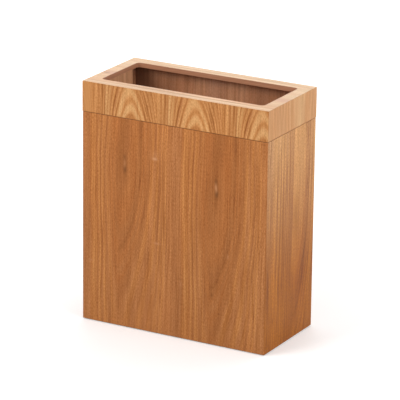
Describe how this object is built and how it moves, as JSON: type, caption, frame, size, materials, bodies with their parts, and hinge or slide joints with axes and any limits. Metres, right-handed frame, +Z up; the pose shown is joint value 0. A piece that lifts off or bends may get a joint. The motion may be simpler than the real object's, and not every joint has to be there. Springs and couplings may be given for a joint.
{
  "type": "wastebasket",
  "caption": "Slim upright wood-veneered wastebasket with a lift-off cover frame around a rectangular rounded opening.",
  "frame": {"origin": "on the floor, under the middle of the bin", "axes": "+X along the long side to the viewer's right, +Y from the front face to the back, +Z up through the opening"},
  "size_m": [0.2676, 0.13, 0.321],
  "materials": {
    "bin_veneer": "satin lacquered veneer, grain upright",
    "lid_veneer": "satin lacquered veneer, arched figure",
    "rim_veneer": "satin lacquered veneer, grain along the rim",
    "edge_banding": "smooth edge band",
    "plywood": "plain plywood",
    "block_wood": "sanded solid wood",
    "pad_rubber": "matt"
  },
  "bodies": {
    "bin": {"front_panel": "bin_veneer", "back_panel": "bin_veneer", "left_panel": "bin_veneer", "right_panel": "bin_veneer", "bottom_panel": "plywood", "foot_block_front_left": "block_wood", "foot_block_front_right": "block_wood", "foot_block_back_left": "block_wood", "foot_block_back_right": "block_wood", "foot_pad_front_left": "pad_rubber", "foot_pad_front_right": "pad_rubber", "foot_pad_back_left": "pad_rubber", "foot_pad_back_right": "pad_rubber"},
    "lid": {"top_board": "rim_veneer", "opening_edge_band": "edge_banding", "lid_front_rail": "lid_veneer", "lid_back_rail": "lid_veneer", "lid_left_rail": "lid_veneer", "lid_right_rail": "lid_veneer", "left_locating_block": "block_wood", "right_locating_block": "block_wood"}
  },
  "joints": [
    {"name": "lid_lift", "type": "slide", "parent": "bin", "child": "lid", "axis": [0, 0, 1], "range_m": [0, 0.1]}
  ]
}
